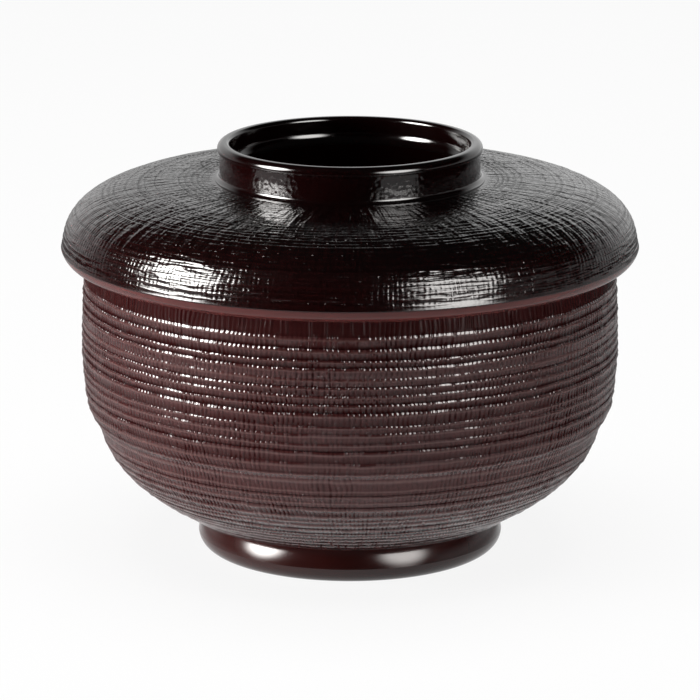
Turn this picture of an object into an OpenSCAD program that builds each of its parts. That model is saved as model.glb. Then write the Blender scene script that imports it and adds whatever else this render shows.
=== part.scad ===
// Lidded lacquer rice bowl: a turned bowl on a foot ring, closed by an overhanging lid with a grip ring.
// Millimetres, +Z up, origin at the centre of the face that it stands on.

/* [Bowl] */
// Widest outside diameter of the bowl wall
bowl_d = 125.2; // [112:0.2:140]
// Height of the bowl's rim above the table
bowl_h = 79; // [72:0.5:92]
// Height at which the wall is widest
belly_z = 49; // [43:0.5:57]
// Draw of the wall inwards from the belly up to the rim
rim_draw = 2.3; // [0.6:0.1:3.4]
// Draw of the wall inwards from the belly down to the step
step_draw = 1.3; // [0.4:0.1:2.6]
// Height of the crease under the step, where the lower bowl begins
step_z = 29.8; // [25:0.2:34]
// Height of the rounded step above the crease
step_h = 4.9; // [3:0.1:7]
// Depth of the step, from the wall in to the crease
step_in = 2.5; // [1:0.1:4]
// Lean of the lower bowl at the crease, in degrees off upright
crease_lean = 15; // [8:1:25]
// Rise of the lower bowl where it leaves the foot, in degrees
foot_rise = 29; // [22:1:40]
// Thickness of the wall at the belly
wall_t = 3.2; // [2:0.1:5]
// Thickness of the wall at the rim
rim_t = 2.4; // [1.8:0.1:3.6]
// Rounding of the rim's two edges
rim_round = 0.6; // [0.2:0.1:0.8]
// Thickness of the bottom in the middle
floor_t = 5.7; // [4:0.1:9]

/* [Foot ring] */
// Outside diameter of the foot ring
foot_d = 71.2; // [60:0.2:80]
// Height of the foot ring
foot_h = 9.3; // [7.5:0.1:12]
// Width of the foot ring, from its outside to its bore
foot_w = 7.6; // [6:0.1:11]
// Rounding of the outer edge that meets the table, up to the crease where the ring is widest
foot_round = 3.7; // [1.5:0.1:4.5]
// Inward lean of the ring's side just above the crease, in degrees
foot_lean = 9.5; // [4:0.5:14]
// Radius of the ring's swelling side, from the crease up to the bowl
foot_swell = 12.5; // [11:0.5:30]
// Rounding of the inner edge that meets the table
foot_inner_round = 0.8; // [0.3:0.1:1.4]
// Cove between the foot ring's bore and the underside of the bowl
foot_cove = 1.6; // [0.6:0.1:2.6]
// Depth of the boss under the bowl that centres the foot ring
foot_boss_h = 2.6; // [1:0.1:3]
// Overhang of the bowl's lower edge past the foot ring
foot_overhang = 3; // [0.4:0.1:4]

/* [Lid] */
// Depth of the skirt below the rim that the lid rests on
skirt_h = 9.9; // [6:0.1:12]
// Thickness of the skirt from the bowl side out to the widest part
skirt_t = 4.9; // [4:0.05:7]
// Width of the undercut band along the skirt's lower edge
lip_w = 2.3; // [1:0.05:2.8]
// Height of the undercut band along the skirt's lower edge
lip_h = 2.9; // [1.4:0.1:4]
// Outward bow of the undercut band
lip_bow = 0.4; // [0.1:0.05:0.5]
// Height of the upright side above the band
side_h = 1.9; // [0.8:0.1:3]
// Draw of the upright side inwards over its height
side_draw = 0.3; // [0.05:0.05:0.6]
// Height of the crown above the rim, where the grip ring is seated
crown_h = 8.5; // [7:0.25:13]
// Slope of the crown where it meets the grip ring, in degrees
crown_tilt = 0.4; // [0.2:0.2:4]
// Share of the lid's rise taken by the shoulder's upright part
shoulder_full = 0.48; // [0.4:0.01:0.75]
// Share of the lid's run taken by the flat of the crown
crown_full = 0.86; // [0.55:0.01:0.9]
// Thickness of the lid under the grip ring
lid_t = 3.2; // [2.4:0.1:4.5]
// Fillet between the skirt and the seat inside the lid
seat_fillet = 1; // [0.4:0.1:1.4]

/* [Grip ring] */
// Outside diameter of the grip ring at its lip
ring_d = 61.3; // [52:0.1:70]
// Height of the grip ring above the crown
ring_h = 8.6; // [7.2:0.05:12]
// Width of the lip, from its outside to the recess
lip_ring_w = 2.9; // [2.4:0.1:4]
// Rounding of the lip's outer edge
ring_outer_round = 1.5; // [0.6:0.1:1.6]
// Rounding of the lip's inner edge
ring_inner_round = 0.9; // [0.4:0.1:1]
// Height of the lip bead
bead_h = 2.2; // [1.8:0.1:3]
// Step of the wall in under the lip bead
bead_in = 0.5; // [0.2:0.1:0.9]
// Flare of the wall at the crown
base_flare = 1.1; // [0.5:0.05:1.6]
// Upright edge of the flare at the crown
base_edge = 0.2; // [0.1:0.05:0.5]
// Depth of the recess inside the grip ring, at its middle
recess_h = 7.9; // [6:0.1:8.2]
// Cove between the recess's wall and its floor
recess_cove = 2.6; // [1:0.1:3.4]
// Slope of the dished floor where it leaves the cove, in degrees
recess_lean = 8; // [3:0.5:10]

/* [Fits] */
// Radial gap between the lid's skirt and the bowl wall
lid_clearance = 0.45; // [0.3:0.05:1]
// Radial glue gap round the bosses that centre the two rings
glue_gap = 0.15; // [0.05:0.05:0.3]
// Margin of flat seat left outside the grip ring, and inside the bowl's rim
seat_margin = 0.3; // [0.2:0.1:1]

/* [Hidden] */

round_fn = 200;
curve_steps = 14;
arc_steps = 6;

// Pull of the lower bowl's curve at the crease and at the foot, as shares of its span
crease_pull = 0.32;
foot_pull = 0.46;
// Pull of the bowl's inside at the wall and at the floor, as shares of its drop and of its radius
inside_wall_pull = 0.72;
inside_floor_pull = 0.8;
// Pull of the step's two bends, as a share of the step's height
step_pull = 0.4;
// Pull of the lid's inside at the seat and at the middle, as shares of its rise and of its radius
lid_seat_pull = 0.6;
lid_middle_pull = 0.7;

bowl_r = bowl_d / 2;
foot_r = foot_d / 2;
foot_bore_r = foot_r - foot_w;
foot_seat_bore_r = foot_bore_r - foot_cove;
underside_z = foot_h - foot_boss_h;
lower_edge = [foot_r + foot_overhang, foot_h];
floor_z = underside_z + floor_t;
step_top_z = step_z + step_h;
crease = [wall_r(step_top_z) - step_in, step_z];
rim_edge_z = bowl_h - rim_round;
rim_edge_r = wall_r(rim_edge_z);
rim_inner_r = rim_edge_r - rim_t;

lip_z = bowl_h - skirt_h;
skirt_r = wall_r(lip_z) + lid_clearance;
lid_r = skirt_r + skirt_t;
band_z = lip_z + lip_h;
side_top = [lid_r - side_draw, band_z + side_h];
crown_z = bowl_h + crown_h;
lid_inside_z = crown_z - lid_t;
lid_seat_r = rim_inner_r - seat_margin;

ring_r = ring_d / 2;
ring_wall_r = ring_r - bead_in;
ring_base_r = ring_wall_r + base_flare;
ring_inner_r = ring_r - lip_ring_w;
ring_seat_bore_r = ring_inner_r - recess_cove * (1 - sin(recess_lean));
ring_top_z = crown_z + ring_h;
dish_r = ring_seat_bore_r / sin(recess_lean);
dish_centre = [0, ring_top_z - recess_h + dish_r];
cove_centre = dish_centre + (dish_r - recess_cove) * [sin(recess_lean), -cos(recess_lean)];
crown_edge = [ring_base_r + seat_margin, crown_z];

// Radius of the bowl wall at a height between the step and the rim
function wall_r(z) = z > belly_z
    ? bowl_r - rim_draw * pow((z - belly_z) / (bowl_h - belly_z), 2)
    : bowl_r - step_draw * pow((belly_z - z) / (belly_z - step_top_z), 2);

// Radius of the bowl's inside at a height between the belly and the rim
function inside_r(z) = let (belly_r = bowl_r - wall_t)
    belly_r - (belly_r - rim_inner_r) * pow((z - belly_z) / (rim_edge_z - belly_z), 2);

// Cubic curve from a to d that leaves towards b and arrives from c
function curve(a, b, c, d) = [
    for (i = [0:curve_steps])
        let (t = i / curve_steps, s = 1 - t)
            s * s * s * a + 3 * s * s * t * b + 3 * s * t * t * c + t * t * t * d
];

// Arc round a centre, from one angle to another
function arc(centre, r, from, to) = [
    for (i = [0:arc_steps])
        let (a = from + (to - from) * i / arc_steps)
            centre + r * [cos(a), sin(a)]
];

// Arc from p up to q that bows outwards by a given rise
function bow(p, q, rise) =
    let (
        span = norm(q - p),
        r = (span * span / 4 + rise * rise) / (2 * rise),
        out = [q[1] - p[1], p[0] - q[0]] / span,
        centre = (p + q) / 2 - out * (r - rise),
        half = asin(span / 2 / r),
        middle = atan2(out[1], out[0])
    )
    arc(centre, r, middle - half, middle + half);

function lower_bowl() =
    let (
        span = norm(crease - lower_edge),
        leave = foot_pull * span * [cos(foot_rise), sin(foot_rise)],
        arrive = crease_pull * span * [sin(crease_lean), cos(crease_lean)]
    )
    curve(lower_edge, lower_edge + leave, crease - arrive, crease);

function step_curve() =
    let (
        top = [wall_r(step_top_z), step_top_z],
        pull = step_pull * step_h,
        lean = 2 * step_draw / (belly_z - step_top_z)
    )
    curve(crease, crease + pull * [tan(crease_lean), 1], top - pull * [lean, 1], top);

function wall_outside() = [
    for (i = [1:curve_steps])
        let (z = step_top_z + (rim_edge_z - step_top_z) * i / curve_steps)
            [wall_r(z), z]
];

function rim_top() = concat(
    arc([rim_edge_r - rim_round, rim_edge_z], rim_round, 0, 90),
    arc([rim_inner_r + rim_round, rim_edge_z], rim_round, 90, 180)
);

function wall_inside() = [
    for (i = [0:arc_steps])
        let (z = rim_edge_z + (belly_z - rim_edge_z) * i / arc_steps)
            [inside_r(z), z]
];

function bowl_inside() =
    let (r = bowl_r - wall_t, drop = inside_wall_pull * (belly_z - floor_z))
    curve([r, belly_z], [r, belly_z - drop], [inside_floor_pull * r, floor_z], [0, floor_z]);

module turned(outline) {
    rotate_extrude($fn = round_fn) polygon(outline);
}

module bowl_body() {
    boss_r = foot_seat_bore_r - glue_gap;
    color("#573231") turned(concat(
        [[0, underside_z], [boss_r, underside_z], [boss_r, foot_h]],
        lower_bowl(),
        step_curve(),
        wall_outside(),
        rim_top(),
        wall_inside(),
        bowl_inside()
    ));
}

module foot_ring() {
    swell_centre = [foot_r, foot_round] - foot_swell * [cos(foot_lean), sin(foot_lean)];
    top_lean = asin((foot_h - swell_centre[1]) / foot_swell);
    color("#3a1f1c") turned(concat(
        arc([foot_r - foot_round, foot_round], foot_round, -90, 0),
        arc(swell_centre, foot_swell, foot_lean, top_lean),
        [[foot_seat_bore_r, foot_h]],
        arc([foot_seat_bore_r, underside_z - foot_cove], foot_cove, 90, 0),
        arc([foot_bore_r + foot_inner_round, foot_inner_round], foot_inner_round, 180, 270)
    ));
}

module lid_body() {
    boss_r = ring_seat_bore_r - glue_gap;
    shoulder = shoulder_full * (crown_z - side_top[1]);
    run = crown_full * (side_top[0] - crown_edge[0]);
    seat_edge = [lid_seat_r, bowl_h];
    rise = lid_seat_pull * (lid_inside_z - bowl_h);
    color("#2b1614") turned(concat(
        [[skirt_r, lip_z]],
        bow([lid_r - lip_w, lip_z], [lid_r, band_z], lip_bow),
        curve(
            side_top,
            side_top + shoulder * [-side_draw / side_h, 1],
            crown_edge + run * [cos(crown_tilt), -sin(crown_tilt)],
            crown_edge
        ),
        [[boss_r, crown_z]],
        arc(dish_centre, dish_r, asin(boss_r / dish_r) - 90, -90),
        curve(
            [0, lid_inside_z],
            [lid_middle_pull * lid_seat_r, lid_inside_z],
            seat_edge + [-rise, rise],
            seat_edge
        ),
        arc([skirt_r - seat_fillet, bowl_h - seat_fillet], seat_fillet, 90, 0)
    ));
}

module lid_ring() {
    bead_z = ring_top_z - bead_h;
    color("#200f0d") turned(concat(
        [[ring_seat_bore_r, crown_z], [ring_base_r, crown_z]],
        arc([ring_base_r, crown_z + base_edge + base_flare], base_flare, 270, 180),
        arc([ring_wall_r, bead_z + bead_in], bead_in, -90, 0),
        arc([ring_r - ring_outer_round, ring_top_z - ring_outer_round], ring_outer_round, 0, 90),
        arc([ring_inner_r + ring_inner_round, ring_top_z - ring_inner_round], ring_inner_round, 90, 180),
        arc(cove_centre, recess_cove, 0, recess_lean - 90)
    ));
}

bowl_body();
foot_ring();
lid_body();
lid_ring();
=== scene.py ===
# Lidded lacquer rice bowl: gloss lacquer over a cloth and turned-line relief on the bowl and lid,
# a faint texture on the grip ring's wall, and smooth lacquer on the foot ring and the insides.
import math
import random
from dataclasses import dataclass

import bmesh
import bpy
from mathutils import Matrix, Vector, noise


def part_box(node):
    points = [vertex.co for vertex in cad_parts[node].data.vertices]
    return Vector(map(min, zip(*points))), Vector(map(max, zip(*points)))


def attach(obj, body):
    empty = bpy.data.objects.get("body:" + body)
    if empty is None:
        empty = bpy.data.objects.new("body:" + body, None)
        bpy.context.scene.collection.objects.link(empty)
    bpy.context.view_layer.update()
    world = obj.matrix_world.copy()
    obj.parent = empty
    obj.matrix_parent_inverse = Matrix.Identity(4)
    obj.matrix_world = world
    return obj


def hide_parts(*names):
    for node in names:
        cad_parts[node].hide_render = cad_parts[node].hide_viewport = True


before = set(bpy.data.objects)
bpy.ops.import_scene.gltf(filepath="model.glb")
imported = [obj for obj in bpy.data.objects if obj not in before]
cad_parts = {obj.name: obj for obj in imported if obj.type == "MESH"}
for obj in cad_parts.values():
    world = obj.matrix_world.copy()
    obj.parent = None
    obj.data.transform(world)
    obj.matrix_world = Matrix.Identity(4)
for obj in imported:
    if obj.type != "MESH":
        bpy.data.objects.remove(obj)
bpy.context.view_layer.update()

MM = 0.001
upright = {"cent": (0, 0, 0), "axis": (0, 0, 1)}


def box_mm(node):
    """Widest radius, lowest height and highest height of a CAD node, in millimetres."""
    low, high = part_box(node)
    return high.x / MM, low.z / MM, high.z / MM


# Sizes in millimetres: the main ones come from the frame
bowl_r, underside_z, bowl_h = box_mm("bowl_body")
foot_r, _, foot_h = box_mm("foot_ring")
lid_r, lip_z, _ = box_mm("lid_body")
ring_base_r, crown_z, ring_top_z = box_mm("lid_ring")

# Bowl
belly_z = 49.0
rim_draw = 2.3
step_draw = 1.3
step_z = 29.8
step_h = 4.9
step_in = 2.5
step_pull = 0.4
crease_lean = math.radians(15)
foot_rise = math.radians(29)
lower_leave = 0.46
lower_arrive = 0.32
wall_t = 3.2
rim_t = 2.4
rim_round = 0.6
floor_t = 5.7
floor_full = 0.8
inside_drop = 0.72
cloth_margin = 0.6
rim_margin = 0.3
inside_top_margin = 1.5
inside_belly_margin = 2.0
foot_overhang = 3.0
cloth_top_z = 76.0
ridge_top_z = 65.5

# Foot ring
foot_w = 7.6
foot_round = 3.7
foot_lean = math.radians(9.5)
foot_swell = 12.5
foot_inner_round = 0.8
foot_cove = 1.6

# Lid
skirt_t = 4.9
lip_w = 2.3
lip_h = 2.9
lip_bow = 0.4
side_h = 1.9
side_draw = 0.3
crown_tilt = math.radians(0.4)
shoulder_full = 0.48
crown_full = 0.86
lid_t = 3.2
ceiling_full = 0.7
ceiling_rise = 0.6
seat_fillet = 1.0
seat_margin = 0.3
crown_fade = 0.5

# Grip ring
lip_ring_w = 2.9
ring_outer_round = 1.5
ring_inner_round = 0.9
bead_h = 2.2
bead_in = 0.5
base_flare = 1.1
base_edge = 0.2
recess_h = 7.9
recess_cove = 2.6
recess_lean = math.radians(8)

# Relief: each row of a ridge has its share of the pitch and of the height, and the last is a corner
columns = 320
sectors = 8
weld = 0.002
relief_fade = 1.6
plain_step = 1.2
plain_valley = 0.88
ridge_profile = ((0.45, 0.2), (0.59, 0.62), (0.71, 1.0), (0.85, 0.6), (1.0, 0.0))
ridge_fullness = (0.6, 0.9, 1.0, 1.0)

# Waves along a ridge: the amount, scale and offset of each
swell_waves = ((0.5, 5.0, 0.5), (0.8, 22.0, 80))
bend_waves = ((0.6, 2.5, 0), (0.5, 14.0, 40))
mean_swell = 0.8
least_swell = 0.3


@dataclass
class Weave:
    """Relief of one piece in millimetres: ridges of uneven pitch that wander."""

    pitch: tuple
    depth: float
    wander: float
    seed: int


bowl_weave = Weave(pitch=(1.5, 3.0), depth=0.32, wander=0.3, seed=5)
lid_weave = Weave(pitch=(1.0, 1.8), depth=0.135, wander=0.3, seed=11)


@dataclass
class Row:
    """One ring of a turned piece: its place in the outline and its part in the relief."""

    r: float
    z: float
    cloth: float = 0.0
    thin: float = 0.0
    satin: float = 0.0
    ridge: int = 0
    height: float = 0.0
    valley: float = 0.0
    corner: bool = False
    along: tuple = (0.0, 0.0)
    weave: Weave = None


# Outline tools
def heights(start, end, steps):
    return [start + (end - start) * i / steps for i in range(steps + 1)]


def curve(a, b, c, d, steps=24):
    """Cubic curve from a to d that leaves towards b and arrives from c."""
    points = []
    for i in range(steps + 1):
        t = i / steps
        s = 1 - t
        weights = (s * s * s, 3 * s * s * t, 3 * s * t * t, t * t * t)
        points.append(tuple(sum(w * p[k] for w, p in zip(weights, (a, b, c, d))) for k in (0, 1)))
    return points


def arc(centre, r, start, end, steps=10):
    """Arc round a centre, between two angles in degrees."""
    angles = [math.radians(start + (end - start) * i / steps) for i in range(steps + 1)]
    return [(centre[0] + r * math.cos(a), centre[1] + r * math.sin(a)) for a in angles]


def bow(p, q, rise, steps=8):
    """Arc from p up to q that bows outwards by a given rise."""
    span = math.dist(p, q)
    r = (span * span / 4 + rise * rise) / (2 * rise)
    out = ((q[1] - p[1]) / span, (p[0] - q[0]) / span)
    centre = tuple((p[k] + q[k]) / 2 - out[k] * (r - rise) for k in (0, 1))
    half = math.degrees(math.asin(span / 2 / r))
    middle = math.degrees(math.atan2(out[1], out[0]))
    return arc(centre, r, middle - half, middle + half, steps)


def plain(points, thin=0.0, satin=0.0):
    return [Row(r, z, thin=thin, satin=satin) for r, z in points]


def relief(path, weave, end_fade=relief_fade, bare=0.0):
    """Rows along a path with its ridges, some of them faint, up to a bare end."""
    draw = random.Random(weave.seed)
    lengths = [0.0]
    for p, q in zip(path, path[1:]):
        lengths.append(lengths[-1] + math.dist(p, q))
    total = lengths[-1]

    def row(s, ridge, height, valley, corner=False):
        i = max(k for k in range(len(lengths) - 1) if lengths[k] <= s)
        size = lengths[i + 1] - lengths[i]
        t = (s - lengths[i]) / size
        (r0, z0), (r1, z1) = path[i], path[i + 1]
        return Row(
            r=r0 + (r1 - r0) * t,
            z=z0 + (z1 - z0) * t,
            cloth=min(1.0, s / relief_fade, (total - s) / end_fade),
            ridge=ridge,
            height=height,
            valley=valley,
            corner=corner,
            along=((r1 - r0) / size, (z1 - z0) / size),
            weave=weave,
        )

    rows = [row(0.0, 0, 0.0, 1.0)]
    s = 0.0
    ridge = 0
    while s + weave.pitch[1] < total - bare:
        pitch = draw.uniform(*weave.pitch)
        full = draw.choice(ridge_fullness)
        steep = full * pitch / weave.pitch[1]
        for share, height in ridge_profile:
            rows.append(row(s + pitch * share, ridge, height * steep, (1 - height) * full, height == 0))
        s += pitch
        ridge += 1
    steps = max(1, math.ceil((total - s) / plain_step))
    return rows + [row(place, ridge, 0.0, plain_valley) for place in heights(s, total, steps)[1:]]


def around(angle, scale, seed):
    """Smooth noise along a ring, from -1 to 1, that closes on itself."""
    return noise.noise(Vector((math.cos(angle) * scale, math.sin(angle) * scale, seed * 3.7)))


def along_ridge(angle, ridge, waves):
    return sum(amount * around(angle, scale, ridge + offset) for amount, scale, offset in waves)


def carve(vert, row):
    """Sinks a point behind the ridges, and lets each ridge wander and fade along its length."""
    angle = math.atan2(vert.co.y, vert.co.x)
    swell = mean_swell + along_ridge(angle, row.ridge, swell_waves)
    sink = -row.weave.depth * row.cloth * (1 - row.height * min(1.0, max(least_swell, swell)))
    shift = row.weave.wander * row.cloth * along_ridge(angle, row.ridge, bend_waves)
    r = row.r + row.along[1] * sink + row.along[0] * shift
    z = row.z - row.along[0] * sink + row.along[1] * shift
    vert.co = Vector((math.cos(angle) * r * MM, math.sin(angle) * r * MM, z * MM))


def object_from(bm, name):
    mesh = bpy.data.meshes.new(name)
    bm.to_mesh(mesh)
    bm.free()
    made = bpy.data.objects.new(name, mesh)
    bpy.context.scene.collection.objects.link(made)
    return made


def turned(name, rows, closed=False, crease=math.radians(25)):
    """A piece of revolution from its rows, with the relief carved inwards from its outline."""
    bm = bmesh.new()
    row_of = bm.verts.layers.int.new("row")
    outline = []
    for i, row in enumerate(rows):
        vert = bm.verts.new((row.r * MM, 0, row.z * MM))
        vert[row_of] = i
        outline.append(vert)
    pairs = list(zip(outline, outline[1:]))
    if closed:
        pairs.append((outline[-1], outline[0]))
    edges = [bm.edges.new(pair) for pair in pairs]

    # One sector is spun, then doubled until the round is full
    bmesh.ops.spin(bm, geom=outline + edges, angle=math.tau / sectors, steps=columns // sectors, **upright)
    share = sectors
    while share > 1:
        copied = bmesh.ops.duplicate(bm, geom=bm.verts[:] + bm.edges[:] + bm.faces[:])
        corners = [part for part in copied["geom"] if isinstance(part, bmesh.types.BMVert)]
        turn = Matrix.Rotation(math.tau / share, 3, "Z")
        bmesh.ops.rotate(bm, verts=corners, cent=(0, 0, 0), matrix=turn)
        share //= 2
    bmesh.ops.remove_doubles(bm, verts=bm.verts, dist=weld * MM)
    bmesh.ops.recalc_face_normals(bm, faces=bm.faces)
    for face in bm.faces:
        face.smooth = True
    for edge in bm.edges:
        first, second = (rows[vert[row_of]] for vert in edge.verts)
        corner = first is second and first.corner
        if corner or len(edge.link_faces) == 2 and edge.calc_face_angle() > crease:
            edge.smooth = False

    # The marks that the lacquer reads
    keys = ("cloth", "thin", "satin", "ridge", "valley")
    marks = {key: bm.verts.layers.float.new(key) for key in keys}
    for vert in bm.verts:
        row = rows[vert[row_of]]
        for key, layer in marks.items():
            vert[layer] = getattr(row, key)
        if row.weave:
            carve(vert, row)
    return object_from(bm, name)


# Outlines
def wall_r(z):
    """Radius of the bowl wall at a height between the step and the rim."""
    step_top_z = step_z + step_h
    if z > belly_z:
        return bowl_r - rim_draw * ((z - belly_z) / (bowl_h - belly_z)) ** 2
    return bowl_r - step_draw * ((belly_z - z) / (belly_z - step_top_z)) ** 2


def bowl_rows():
    step_top_z = step_z + step_h
    lower_edge = (foot_r + foot_overhang, foot_h)
    crease = (wall_r(step_top_z) - step_in, step_z)
    span = math.dist(crease, lower_edge)
    leave = lower_leave * span
    arrive = lower_arrive * span
    lower = curve(
        lower_edge,
        (lower_edge[0] + leave * math.cos(foot_rise), lower_edge[1] + leave * math.sin(foot_rise)),
        (crease[0] - arrive * math.sin(crease_lean), crease[1] - arrive * math.cos(crease_lean)),
        crease,
    )
    top = (wall_r(step_top_z), step_top_z)
    pull = step_pull * step_h
    lean = 2 * step_draw / (belly_z - step_top_z)
    step = curve(
        crease,
        (crease[0] + pull * math.tan(crease_lean), crease[1] + pull),
        (top[0] - pull * lean, top[1] - pull),
        top,
    )
    wall = [(wall_r(z), z) for z in heights(step_top_z, cloth_top_z, 40)]
    rim_edge_z = bowl_h - rim_round
    rim_edge_r = wall_r(rim_edge_z)
    rim_inner_r = rim_edge_r - rim_t
    inside_belly_r = bowl_r - wall_t
    floor_z = underside_z + floor_t
    drop = inside_drop * (belly_z - floor_z)

    def inside_r(z):
        share = (z - belly_z) / (rim_edge_z - belly_z)
        return inside_belly_r - (inside_belly_r - rim_inner_r) * share * share

    rim = (
        [(wall_r(z), z) for z in heights(cloth_top_z + cloth_margin, rim_edge_z - rim_margin, 2)]
        + arc((rim_edge_r - rim_round, rim_edge_z), rim_round, 0, 90, 5)
        + arc((rim_inner_r + rim_round, rim_edge_z), rim_round, 90, 180, 5)
    )
    inside_heights = heights(rim_edge_z - inside_top_margin, belly_z + inside_belly_margin, 6)
    inside = [(inside_r(z), z) for z in inside_heights] + curve(
        (inside_belly_r, belly_z),
        (inside_belly_r, belly_z - drop),
        (floor_full * inside_belly_r, floor_z),
        (0, floor_z),
        20,
    )
    boss_r = foot_r - foot_w - foot_cove
    bottom = [(0, underside_z), (boss_r, underside_z), (boss_r, foot_h)]
    outside = relief(lower + step[1:] + wall[1:], bowl_weave, bare=cloth_top_z - ridge_top_z)
    return plain(bottom) + outside + plain(rim) + plain(inside)


def foot_rows():
    swell_r = foot_r - foot_swell * math.cos(foot_lean)
    swell_z = foot_round - foot_swell * math.sin(foot_lean)
    top_lean = math.degrees(math.asin((foot_h - swell_z) / foot_swell))
    bore_r = foot_r - foot_w
    seat_r = bore_r - foot_cove
    return plain(
        arc((foot_r - foot_round, foot_round), foot_round, -90, 0, 16)
        + arc((swell_r, swell_z), foot_swell, math.degrees(foot_lean), top_lean, 12)
        + [(seat_r, foot_h)]
        + arc((seat_r, underside_z - foot_cove), foot_cove, 90, 0)
        + arc((bore_r + foot_inner_round, foot_inner_round), foot_inner_round, 180, 270)
    )


def recess_dish():
    """Centre and radius of the dished floor inside the grip ring, and the radius of its edge."""
    inner_r = ring_base_r - base_flare + bead_in - lip_ring_w
    seat_r = inner_r - recess_cove * (1 - math.sin(recess_lean))
    dish_r = seat_r / math.sin(recess_lean)
    return (0, ring_top_z - recess_h + dish_r), dish_r, seat_r


def lid_rows():
    skirt_r = lid_r - skirt_t
    band_z = lip_z + lip_h
    side_top = (lid_r - side_draw, band_z + side_h)
    crown_edge = (ring_base_r + seat_margin, crown_z)
    rim_inner_r = wall_r(bowl_h - rim_round) - rim_t
    seat_edge = (rim_inner_r - seat_margin, bowl_h)
    inside_z = crown_z - lid_t
    rise = ceiling_rise * (inside_z - bowl_h)
    inside = curve(
        (0, inside_z),
        (ceiling_full * seat_edge[0], inside_z),
        (seat_edge[0] - rise, seat_edge[1] + rise),
        seat_edge,
        16,
    )
    fillet = arc((skirt_r - seat_fillet, bowl_h - seat_fillet), seat_fillet, 90, 0, 6)
    lip = bow((lid_r - lip_w, lip_z), (lid_r, band_z), lip_bow)
    rise_up = shoulder_full * (crown_z - side_top[1])
    run = crown_full * (side_top[0] - crown_edge[0])
    shoulder = curve(
        side_top,
        (side_top[0] - rise_up * side_draw / side_h, side_top[1] + rise_up),
        (crown_edge[0] + run * math.cos(crown_tilt), crown_edge[1] - run * math.sin(crown_tilt)),
        crown_edge,
        48,
    )
    dish_centre, dish_r, seat_r = recess_dish()
    dish = arc(dish_centre, dish_r, math.degrees(recess_lean) - 90, -90, 16)
    return (
        plain(inside + fillet + [(skirt_r, lip_z)])
        + plain(lip[:-1], thin=1.0)
        + relief([lip[-1]] + shoulder, lid_weave, end_fade=crown_fade)
        + plain([(seat_r, crown_z)])
        + plain(dish, satin=1.0)
    )


def ring_rows():
    side_r = ring_base_r - base_flare
    ring_r = side_r + bead_in
    inner_r = ring_r - lip_ring_w
    dish_centre, dish_r, seat_r = recess_dish()
    reach = dish_r - recess_cove
    cove_centre = (reach * math.sin(recess_lean), dish_centre[1] - reach * math.cos(recess_lean))
    flare_top_z = crown_z + base_edge + base_flare
    bead_z = ring_top_z - bead_h
    outer_centre = (ring_r - ring_outer_round, ring_top_z - ring_outer_round)
    inner_centre = (inner_r + ring_inner_round, ring_top_z - ring_inner_round)
    base = [(seat_r, crown_z), (ring_base_r, crown_z)]
    flare = arc((ring_base_r, flare_top_z), base_flare, 270, 180, 10)[:-1]
    bead = arc((side_r, bead_z + bead_in), bead_in, -90, 0, 6)[1:]
    lip = arc(outer_centre, ring_outer_round, 0, 90, 12) + arc(inner_centre, ring_inner_round, 90, 180, 10)
    cove = arc(cove_centre, recess_cove, 0, math.degrees(recess_lean) - 90, 12)
    wall = [Row(side_r, z, cloth=1.0) for z in heights(flare_top_z, bead_z, 3)]
    return plain(base + flare) + wall + plain(bead + lip + cove)


# Shader tools
class Field:
    """A value that varies over a surface. Arithmetic on it adds Math nodes to its material."""

    def __init__(self, socket):
        self.socket = socket

    def math(self, operation, *others):
        tree = self.socket.id_data
        return node(tree, "ShaderNodeMath", {"operation": operation}, dict(enumerate((self, *others))))

    def __add__(self, other):
        return self.math("ADD", other)

    __radd__ = __add__

    def __mul__(self, other):
        return self.math("MULTIPLY", other)

    __rmul__ = __mul__

    def __sub__(self, other):
        return self.math("SUBTRACT", other)

    def __rsub__(self, other):
        return (self * -1) + other


def node(tree, kind, settings, inputs, output=0):
    """One node: its settings are set first, then the values or links of its sockets."""
    made = tree.nodes.new(kind)
    for key, value in settings.items():
        setattr(made, key, value)
    for key, value in inputs.items():
        if isinstance(value, Field):
            tree.links.new(value.socket, made.inputs[key])
        else:
            made.inputs[key].default_value = value
    return Field(made.outputs[output])


def smooth_step(field, low, high):
    tree = field.socket.id_data
    ends = {"Value": field, "From Min": low, "From Max": high}
    return node(tree, "ShaderNodeMapRange", {"interpolation_type": "SMOOTHSTEP"}, ends)


def new_material(name):
    material = bpy.data.materials.new(name)
    material.use_nodes = True
    material.node_tree.nodes.clear()
    return material, material.node_tree


def surface(tree, shader):
    output = tree.nodes.new("ShaderNodeOutputMaterial")
    tree.links.new(shader.socket, output.inputs["Surface"])


def object_place(tree):
    return node(tree, "ShaderNodeTexCoord", {}, {}, "Object")


def axes(tree, place):
    parts = tree.nodes.new("ShaderNodeSeparateXYZ")
    tree.links.new(place.socket, parts.inputs[0])
    return [Field(parts.outputs[axis]) for axis in "XYZ"]


def grain(tree, place, scale, detail):
    """Soft noise from 0 to 1 with the given number of grains to a metre."""
    return node(tree, "ShaderNodeTexNoise", {}, {"Vector": place, "Scale": scale, "Detail": detail})


def attribute(tree, name):
    return node(tree, "ShaderNodeAttribute", {"attribute_name": name}, {}, "Fac")


def tint(tree, share, a, b):
    """Mix of two colours, each a field or three numbers."""
    ends = [end if isinstance(end, Field) else (*end, 1) for end in (a, b)]
    return node(tree, "ShaderNodeMix", {"data_type": "RGBA"}, {"Factor": share, 6: ends[0], 7: ends[1]}, 2)


def bumped(tree, height):
    """Normal of a surface with a height in millimetres."""
    return node(tree, "ShaderNodeBump", {}, {"Height": height, "Strength": 1.0, "Distance": MM})


def principled(tree, inputs):
    return node(tree, "ShaderNodeBsdfPrincipled", {}, inputs, "BSDF")


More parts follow.
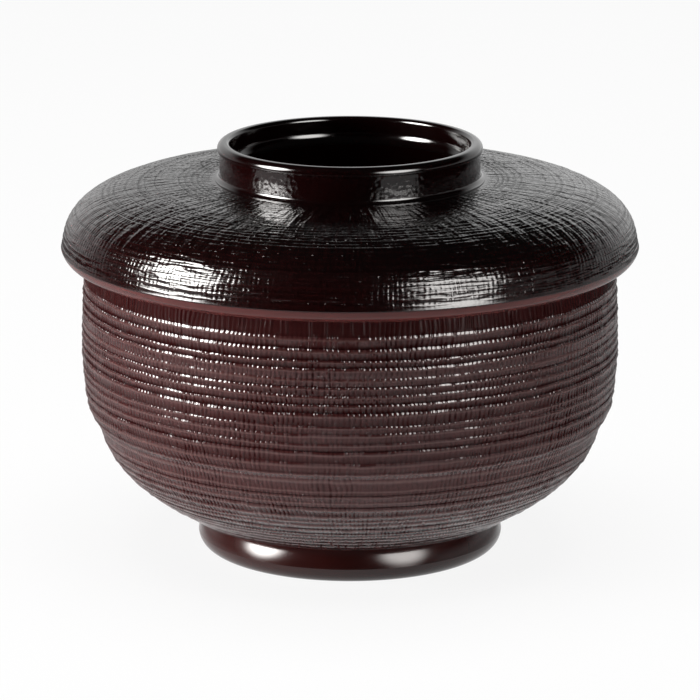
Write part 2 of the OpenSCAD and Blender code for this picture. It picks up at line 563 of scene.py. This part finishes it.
def chance(tree, x, y):
    """One random value from 0 to 1 for each pair of whole numbers."""
    pair = node(tree, "ShaderNodeCombineXYZ", {}, {"X": x, "Y": y})
    return node(tree, "ShaderNodeTexWhiteNoise", {"noise_dimensions": "2D"}, {"Vector": pair}, "Value")


def strokes(tree, angle, course, around_scale, along_scale):
    """Noise from -0.5 to 0.5, drawn out round the axis or along the outline."""
    bent = node(tree, "ShaderNodeCombineXYZ", {}, {
        "X": angle.math("COSINE") * around_scale,
        "Y": angle.math("SINE") * around_scale,
        "Z": course * along_scale,
    })
    return grain(tree, bent, 1.0, 1.0) - 0.5


# Lacquers
@dataclass
class Cloth:
    """How the cloth shows through the lacquer of one piece, with heights in millimetres."""

    rib: float = 0.0
    bridge: float = 0.0
    slot_depth: float = 0.0
    slot_dull: float = 0.0
    groove_dull: float = 0.0
    speckle: float = 0.0
    stroke: float = 0.0
    fold: float = 0.0


@dataclass
class Tones:
    """Colours of one lacquer: painted shade in the grooves and slots, its own colour on the fields, and on
    the crests a lighter colour that is partly thinner lacquer and partly painted sheen.
    """

    groove_shade: tuple
    field: tuple
    thin_crest_and_sheen: tuple


# Grains to a metre
sway_grain = 110.0
wear_grain = 70.0
fray_grain = 260.0
cloud_grain = 45.0
speckle_grain = 1100.0
polish_grain = 900.0
smooth_cloud_grain = 60.0
smooth_polish_grain = 500.0
brush_grain = 120.0

# Scales of the strokes round the axis and along the outline
stroke_scales = (12.0, 900.0)
fold_scales = (27.0, 130.0)

# Threads, the heights where slots and folds fade in, and the lacquer itself
threads_around = 340
thread_sway = 2.2
filled_from = foot_h + 3
filled_to = foot_h + 14
folds_from = lip_z + 6.5
folds_to = crown_z - 3.5
lacquer_ior = 1.6
smooth_ior = 1.5
matt_rough = 0.7
brush_height = 0.02
thin_red = (0.1, 0.019, 0.017)

bowl_cloth = Cloth(rib=0.03, bridge=0.15, slot_depth=0.07, slot_dull=0.9, groove_dull=0.9)
lid_cloth = Cloth(
    rib=0.003,
    bridge=0.04,
    slot_depth=0.015,
    slot_dull=0.35,
    groove_dull=0.3,
    speckle=0.03,
    stroke=0.22,
    fold=0.48,
)
ring_cloth = Cloth(speckle=0.055)
# The lid's and grip ring's tones are darker than the bowl's partly as their own lacquer and partly as
# painted shade for the little light that reaches them
bowl_tones = Tones((0.018, 0.002, 0.002), (0.07, 0.019, 0.0185), (0.125, 0.054, 0.05))
lid_tones_with_shade = Tones((0.008, 0.001, 0.001), (0.014, 0.002, 0.002), (0.024, 0.004, 0.004))
ring_tones_with_shade = Tones((0.008, 0.001, 0.001), (0.009, 0.0014, 0.0014), (0.011, 0.0017, 0.0017))


def cloth_lacquer(name, cloth, tones, rough):
    """Lacquer over cloth: threads bridge the valleys between the ridges, and dull slots part them. The
    grooves and slots carry painted shade.
    """
    material, tree = new_material(name)
    place = object_place(tree)
    x, y, z = axes(tree, place)
    angle = y.math("ARCTAN2", x)
    covered = attribute(tree, "cloth")
    valley = attribute(tree, "valley")
    ridge = (attribute(tree, "ridge") + 0.5).math("FLOOR")

    # Threads, counted round the piece, and the slots between them
    sway = (grain(tree, place, sway_grain, 1.0) - 0.5) * thread_sway
    count = angle * (threads_around / math.tau) + sway
    off = (count.math("FRACT") - 0.5).math("ABSOLUTE")
    slot_lot = chance(tree, (count + 0.5).math("FLOOR"), ridge)
    thread_lot = chance(tree, count.math("FLOOR"), ridge + 0.5)
    worn = smooth_step(grain(tree, place, wear_grain, 2.0), 0.35, 0.65)
    filled = smooth_step(z, filled_from * MM, filled_to * MM)
    slot = smooth_step(off, 0.18, 0.42) * (0.3 + 0.7 * valley) * (0.2 + 0.8 * slot_lot) * (0.25 + worn)
    slot = slot * (0.2 + 0.8 * filled)
    bridge = (1 - smooth_step(off, 0.05, 0.42)) * valley * smooth_step(thread_lot, 0.4, 0.8)

    # Fine heights
    height = bridge * cloth.bridge - slot * cloth.slot_depth - (off * off * 4 - 0.33) * cloth.rib
    if cloth.speckle:
        height = height + (grain(tree, place, speckle_grain, 0.0) - 0.5) * cloth.speckle
    if cloth.stroke:
        course = (x * x + y * y).math("SQRT") - z
        height = height + strokes(tree, angle, course, *stroke_scales) * cloth.stroke
        upper = smooth_step(z, folds_from * MM, folds_to * MM)
        height = height + strokes(tree, angle, course, *fold_scales) * upper * cloth.fold
    normal = bumped(tree, height * covered)

    # Loss of gloss in the grooves and slots, partly matt lacquer and partly painted shade for the
    # reflections that their walls hide
    frayed = smooth_step(grain(tree, place, fray_grain, 2.0), 0.4, 0.6)
    bottom = smooth_step(valley, 0.72, 1.0)
    groove_shade = bottom * (0.6 + 0.4 * frayed)
    dull = covered * (groove_shade * cloth.groove_dull + slot * cloth.slot_dull).math("MINIMUM", 1.0)
    dull = dull.math("MAXIMUM", attribute(tree, "satin"))

    # Colour, with a lighter tone on the crests that is partly thinner lacquer and partly painted sheen
    cloudy = 0.6 + 0.8 * grain(tree, place, cloud_grain, 3.0)
    thin_crest_and_sheen = covered * (1 - smooth_step(valley, 0.0, 0.5)) * cloudy
    colour = tint(tree, thin_crest_and_sheen, tones.field, tones.thin_crest_and_sheen)
    # The groove tone laid into the grooves and slots is painted shade
    colour = tint(tree, covered * bottom.math("MAXIMUM", slot), colour, tones.groove_shade)
    colour = tint(tree, attribute(tree, "thin"), colour, thin_red)

    roughness = rough + 0.08 * grain(tree, place, polish_grain, 2.0)
    gloss = principled(
        tree, {"Base Color": colour, "Roughness": roughness, "IOR": lacquer_ior, "Normal": normal}
    )
    matt = principled(tree, {"Base Color": colour, "Roughness": matt_rough, "Specular IOR Level": 0.0})
    surface(tree, node(tree, "ShaderNodeMixShader", {}, {0: dull, 1: gloss, 2: matt}))
    return material


def gloss_lacquer(name, deep, bright, rough):
    """Polished lacquer with a faint unevenness from the brush."""
    material, tree = new_material(name)
    place = object_place(tree)
    colour = tint(tree, grain(tree, place, smooth_cloud_grain, 3.0), deep, bright)
    roughness = rough + 0.05 * grain(tree, place, smooth_polish_grain, 2.0)
    normal = bumped(tree, grain(tree, place, brush_grain, 1.0) * brush_height)
    shader = principled(
        tree, {"Base Color": colour, "Roughness": roughness, "IOR": smooth_ior, "Normal": normal}
    )
    surface(tree, shader)
    return material


def finish_piece(piece, material, body, cad_node):
    piece.data.materials.append(material)
    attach(piece, body)
    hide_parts(cad_node)


# Pieces
bowl_lacquer = cloth_lacquer("bowl_lacquer", bowl_cloth, bowl_tones, rough=0.1)
lid_lacquer = cloth_lacquer("lid_lacquer", lid_cloth, lid_tones_with_shade, rough=0.1)
ring_lacquer = cloth_lacquer("ring_lacquer", ring_cloth, ring_tones_with_shade, rough=0.06)
foot_lacquer = gloss_lacquer("foot_lacquer", (0.036, 0.0068, 0.006), (0.05, 0.0105, 0.009), rough=0.14)

bowl = turned("bowl", bowl_rows())
finish_piece(bowl, bowl_lacquer, "bowl", "bowl_body")
foot = turned("foot", foot_rows(), closed=True, crease=math.radians(8))
finish_piece(foot, foot_lacquer, "bowl", "foot_ring")
lid = turned("lid", lid_rows())
finish_piece(lid, lid_lacquer, "lid", "lid_body")
grip_ring = turned("grip_ring", ring_rows(), closed=True)
finish_piece(grip_ring, ring_lacquer, "lid", "lid_ring")

# Studio
floor_reach = 3.0
tent_r = 1.4
tent_h = 1.15
softbox_distance = 0.9
softbox_tilt = 22
softbox_base_z = 0.07
softbox_cells = 24
softbox_fade = 0.6
warm_white = (1, 0.985, 0.96)
lamp_aim_z = 0.05
floor_whiteness = 0.9
faint_light = 0.015
left_at = -71
right_at = 42


def staged(bm, name, material):
    """A stage object that isn't part of the bowl."""
    made = object_from(bm, name)
    made.data.materials.append(material)
    return made


def only_in_gloss(made):
    made.visible_camera = False
    made.visible_diffuse = False
    made.visible_shadow = False


def glowing(tree, glow):
    """The glow of a stage surface, as the lacquer's gloss shows it."""
    level = glow(*axes(tree, object_place(tree)))
    shade = tint(tree, level, (0, 0, 0), (1, 1, 1))
    return node(tree, "ShaderNodeEmission", {}, {"Color": shade, "Strength": 1.0})


def floor_glow(x, y, _):
    """A bright round under the bowl, with lobes below the softboxes, and a strip far behind."""
    away = (x * x + y * y).math("SQRT")
    turn = x.math("ARCTAN2", y * -1)

    def lobe(azimuth):
        return 1 - smooth_step((turn - math.radians(azimuth)).math("ABSOLUTE"), 0.15, 0.4)

    edge = 1 - smooth_step(away - 0.5 * (lobe(left_at) + lobe(right_at)), 0.25, 0.36)
    aside = smooth_step(x, -0.2, 0.15).math("MAXIMUM", smooth_step(y, -0.02, 0.12))
    level = 1 - 0.5 * smooth_step(away, 0.045, 0.08) + 0.13 * smooth_step(away, 0.1, 0.22)
    return level * edge * (1 - 0.28 * aside) + 0.5 * smooth_step(y, 0.2, 0.6)


def tent_glow(x, y, z):
    """Bright behind the bowl, dim at its sides, dark in front, and fading upwards."""
    turn = x.math("ARCTAN2", y * -1)
    right = 0.46 * smooth_step(turn, 0.7, 1.4) + 0.5 * smooth_step(turn, 2.0, 2.8)
    left = 0.8 * smooth_step(turn * -1, 1.5, 2.7)
    low = z + 0.62 - 0.62 * smooth_step(turn.math("ABSOLUTE"), 1.7, 2.5)
    return (right + left) * (1 - smooth_step(low, 0.6, 1.1))


def floor_white():
    """A matt pale floor that keeps the bowl's shadow, and shows as white to the camera."""
    material, tree = new_material("floor_white")
    path = tree.nodes.new("ShaderNodeLightPath")
    camera_ray = Field(path.outputs["Is Camera Ray"])
    glossy_ray = Field(path.outputs["Is Glossy Ray"])
    matt = node(tree, "ShaderNodeBsdfDiffuse", {}, {"Color": (0.8, 0.8, 0.8, 1)})
    white = node(tree, "ShaderNodeEmission", {}, {"Color": (1, 1, 1, 1), "Strength": 1.0})
    shown = node(tree, "ShaderNodeMixShader", {}, {0: camera_ray * floor_whiteness, 1: matt, 2: white})
    mirrored = glowing(tree, floor_glow)
    surface(tree, node(tree, "ShaderNodeMixShader", {}, {0: glossy_ray, 1: shown, 2: mirrored}))
    return material


def pale_floor():
    bm = bmesh.new()
    corners = [(-1, -1), (1, -1), (1, 1), (-1, 1)]
    bm.faces.new([bm.verts.new((x * floor_reach, y * floor_reach, 0)) for x, y in corners])
    return staged(bm, "floor", floor_white())


def light_tent():
    """A round pale wall that only the lacquer's gloss shows."""
    bm = bmesh.new()
    low = bm.verts.new((0, -tent_r, 0))
    high = bm.verts.new((0, -tent_r, tent_h))
    edge = bm.edges.new((low, high))
    bmesh.ops.spin(bm, geom=[low, high, edge], angle=math.tau, steps=72, use_merge=True, **upright)
    material, tree = new_material("tent_white")
    surface(tree, glowing(tree, tent_glow))
    only_in_gloss(staged(bm, "tent", material))


def softbox(name, azimuth, half_width, half_height, strength):
    """A glowing oval, brightest at its middle, that only the lacquer's gloss shows."""
    a = math.radians(azimuth)
    out = Vector((math.sin(a), -math.cos(a), 0))
    side = Vector((math.cos(a), math.sin(a), 0))
    middle_z = softbox_base_z + softbox_distance * math.tan(math.radians(softbox_tilt))
    centre = out * softbox_distance + Vector((0, 0, middle_z))
    bm = bmesh.new()
    bmesh.ops.create_grid(bm, x_segments=softbox_cells, y_segments=softbox_cells, size=1.0)
    level = bm.verts.layers.float.new("level")
    for vert in bm.verts:
        across, up, _ = vert.co
        fall = min(max((1 - math.hypot(across, up)) / softbox_fade, 0.0), 1.0)
        vert[level] = fall * fall * (3 - 2 * fall)
        vert.co = centre + side * (across * half_width) + Vector((0, 0, up * half_height))
    material, tree = new_material(name)
    shade = tint(tree, attribute(tree, "level"), (0, 0, 0), warm_white)
    surface(tree, node(tree, "ShaderNodeEmission", {}, {"Color": shade, "Strength": strength}))
    only_in_gloss(staged(bm, name, material))


def lamp(name, azimuth, distance, height, size, power):
    a = math.radians(azimuth)
    data = bpy.data.lights.new(name, "AREA")
    data.shape = "SQUARE"
    data.size = size
    data.energy = power
    made = bpy.data.objects.new(name, data)
    made.location = (math.sin(a) * distance, -math.cos(a) * distance, height)
    aim = Vector((0, 0, lamp_aim_z)) - made.location
    made.rotation_euler = aim.to_track_quat("-Z", "Y").to_euler()
    made.visible_glossy = False
    bpy.context.scene.collection.objects.link(made)
    return made


floor = pale_floor()
light_tent()
softbox("softbox_left", left_at, half_width=0.33, half_height=0.42, strength=42.0)
softbox("softbox_right", right_at, half_width=0.38, half_height=0.46, strength=12.0)
lamp("key", -82, distance=0.9, height=0.12, size=0.4, power=11.0)
lamp("fill", 75, distance=1.0, height=0.14, size=0.5, power=1.6)
floor_lamp = lamp("floor_lamp", 0, distance=0.05, height=1.4, size=1.2, power=22.0)
lit_by_floor_lamp = bpy.data.collections.new("lit_by_floor_lamp")
lit_by_floor_lamp.objects.link(floor)
floor_lamp.light_linking.receiver_collection = lit_by_floor_lamp

# White to the camera, and a faint light on the bowl
world = bpy.data.worlds.new("studio")
bpy.context.scene.world = world
world.use_nodes = True
sky = world.node_tree
sky.nodes.clear()
sky_path = sky.nodes.new("ShaderNodeLightPath")
sky_strength = Field(sky_path.outputs["Is Camera Ray"]) * (1 - faint_light) + faint_light
sky_glow = node(sky, "ShaderNodeBackground", {}, {"Color": (1, 1, 1, 1), "Strength": sky_strength})
sky_output = sky.nodes.new("ShaderNodeOutputWorld")
sky.links.new(sky_glow.socket, sky_output.inputs["Surface"])

# Camera
view_tilt = math.radians(14.4)
view_distance = 1.05
view_lens = 231.4
aim_z = 46.33 * MM
camera_data = bpy.data.cameras.new("camera")
camera_data.sensor_width = 36.0
camera_data.lens = view_lens
camera = bpy.data.objects.new("camera", camera_data)
camera.location = (0, -view_distance * math.cos(view_tilt), aim_z + view_distance * math.sin(view_tilt))
camera.rotation_euler = (math.pi / 2 - view_tilt, 0, 0)
bpy.context.scene.collection.objects.link(camera)
bpy.context.scene.camera = camera
bpy.context.scene.view_settings.view_transform = "Standard"
